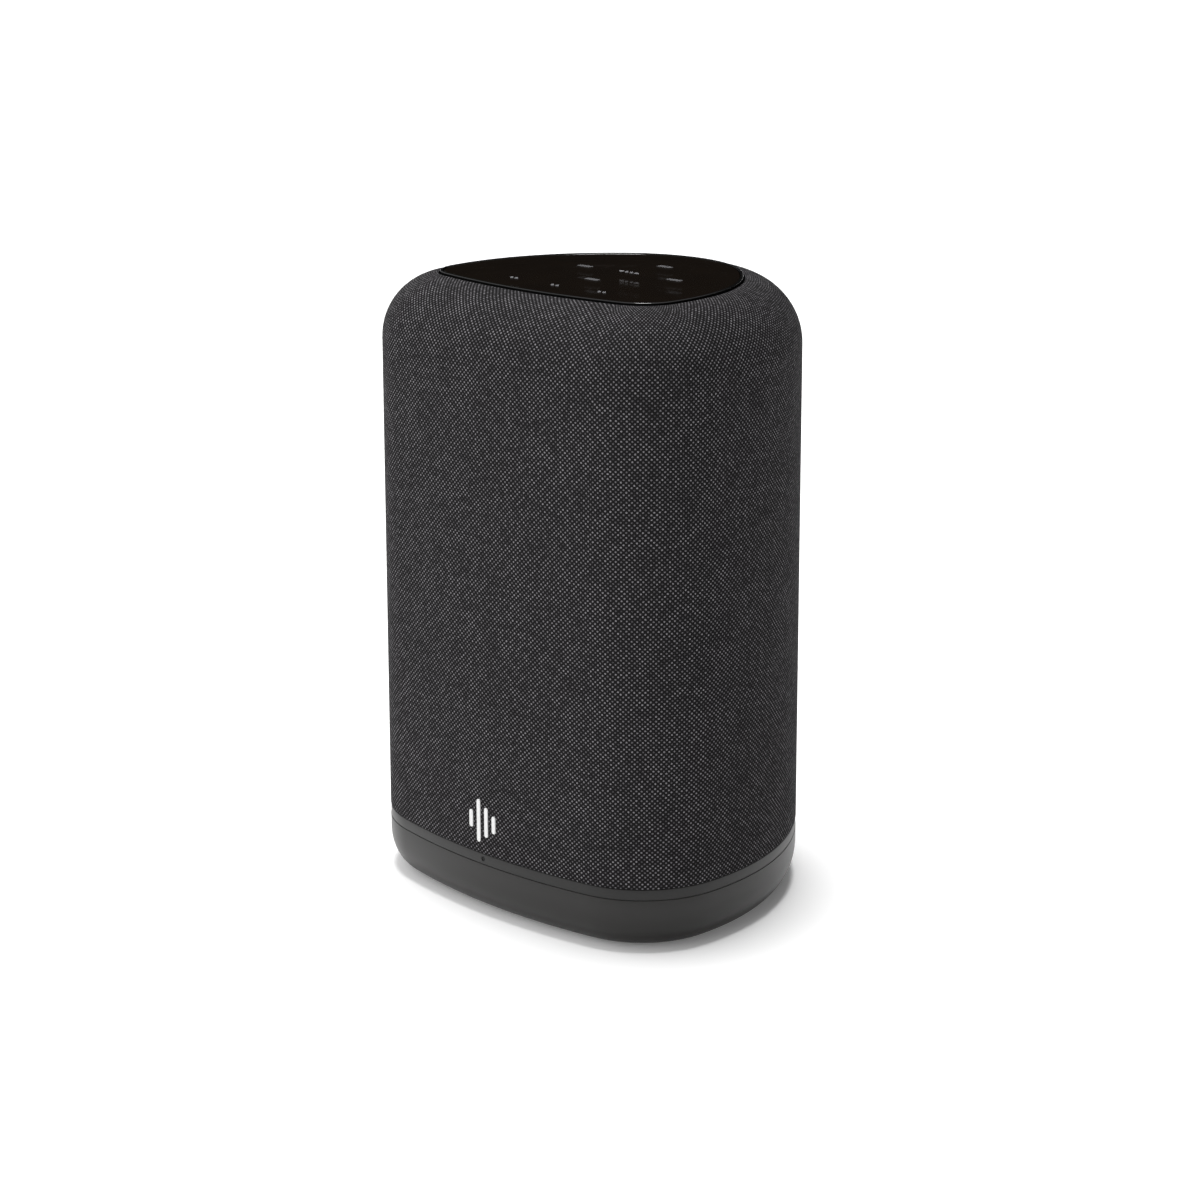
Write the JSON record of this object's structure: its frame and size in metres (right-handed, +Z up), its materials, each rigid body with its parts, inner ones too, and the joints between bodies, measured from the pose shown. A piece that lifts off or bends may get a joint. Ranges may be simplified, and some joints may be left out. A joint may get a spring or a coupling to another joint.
{
  "type": "smart speaker",
  "caption": "Compact fabric-wrapped wireless speaker with a glossy touch panel on top, a matt base and a connector recess at the back.",
  "frame": {"origin": "bottom face of the foot pad, under the middle of the body's width and depth", "axes": "+Z up, front faces -Y, +X to the right of the front view"},
  "size_m": [0.125, 0.111, 0.183],
  "materials": {
    "fabric": "woven",
    "black_plastic": "matt",
    "base_plastic": "fine matt",
    "smoked_panel": "polished",
    "panel_rim": "satin",
    "light_guide": "frosted",
    "badge_white": "satin",
    "foot_rubber": "matt",
    "brass": "turned",
    "screw_steel": "black zinc",
    "soft_steel": "zinc plated",
    "ferrite": "ground",
    "cabinet_plastic": "ribbed matt",
    "foam_rubber": "foam",
    "basket_steel": "black powder coat",
    "cone_pulp": "felted",
    "surround_rubber": "satin",
    "spider_cloth": "impregnated",
    "copper": "enamelled",
    "dome_silk": "doped",
    "circuit_board": "solder mask",
    "chip_black": "moulded",
    "aluminium": "extruded",
    "capacitor_sleeve": "shrunk",
    "port_steel": "nickel",
    "lead_jacket": "smooth",
    "ribbon_film": "film"
  },
  "bodies": {
    "speaker": {"foot_pad": "foot_rubber", "base_pan": "base_plastic", "base_ring": "base_plastic", "status_lens": "light_guide", "thread_insert": "brass", "base_screws": "screw_steel", "grille_frame": "black_plastic", "front_badge": "badge_white", "fabric_cover": "fabric", "panel_frame": "panel_rim", "top_panel": "smoked_panel", "touch_board": "circuit_board", "touch_light_guides": "light_guide", "panel_screws": "screw_steel", "cabinet_front": "cabinet_plastic", "cabinet_rear": "cabinet_plastic", "cabinet_gasket": "foam_rubber", "cabinet_screws": "screw_steel", "reflex_port": "cabinet_plastic", "woofer_gasket": "foam_rubber", "woofer_frame": "basket_steel", "woofer_top_plate": "soft_steel", "woofer_magnet": "ferrite", "woofer_pole_plate": "soft_steel", "woofer_surround": "surround_rubber", "woofer_spider": "spider_cloth", "woofer_terminals": "circuit_board", "driver_screws": "screw_steel", "tweeter_faceplate": "black_plastic", "tweeter_magnet": "soft_steel", "power_board": "circuit_board", "transformer_core": "ferrite", "transformer_winding": "copper", "capacitors": "capacitor_sleeve", "main_board": "circuit_board", "board_screws": "screw_steel", "processor_chips": "chip_black", "shield_can": "soft_steel", "amplifier_heat_sink": "aluminium", "board_connectors": "chip_black", "lead_grommet": "foam_rubber", "speaker_leads": "lead_jacket", "power_leads": "lead_jacket", "touch_ribbon": "ribbon_film", "antennas": "circuit_board", "io_panel": "black_plastic", "ethernet_jack": "black_plastic", "ethernet_contacts": "brass", "usb_port": "port_steel", "usb_tongue": "black_plastic", "audio_jack": "black_plastic", "power_inlet": "black_plastic", "power_inlet_pins": "port_steel", "button_switch": "chip_black"},
    "woofer_diaphragm": {"woofer_cone": "cone_pulp", "woofer_dust_cap": "cone_pulp", "woofer_voice_coil": "copper"},
    "tweeter_diaphragm": {"tweeter_dome": "dome_silk", "tweeter_voice_coil": "copper"},
    "pairing_key": {"pairing_button": "black_plastic"}
  },
  "joints": [
    {"name": "woofer_stroke", "type": "slide", "parent": "speaker", "child": "woofer_diaphragm", "axis": [0, -1, 0], "range_m": [-0.004, 0.004], "stiffness_N_per_m": 1500, "deforming": ["woofer_surround", "woofer_spider"]},
    {"name": "tweeter_stroke", "type": "slide", "parent": "speaker", "child": "tweeter_diaphragm", "axis": [0, -1, 0], "range_m": [-0.0003, 0.0003], "stiffness_N_per_m": 5000},
    {"name": "pairing_press", "type": "slide", "parent": "speaker", "child": "pairing_key", "axis": [0, -1, 0], "range_m": [0, 0.0004], "stiffness_N_per_m": 1500}
  ]
}
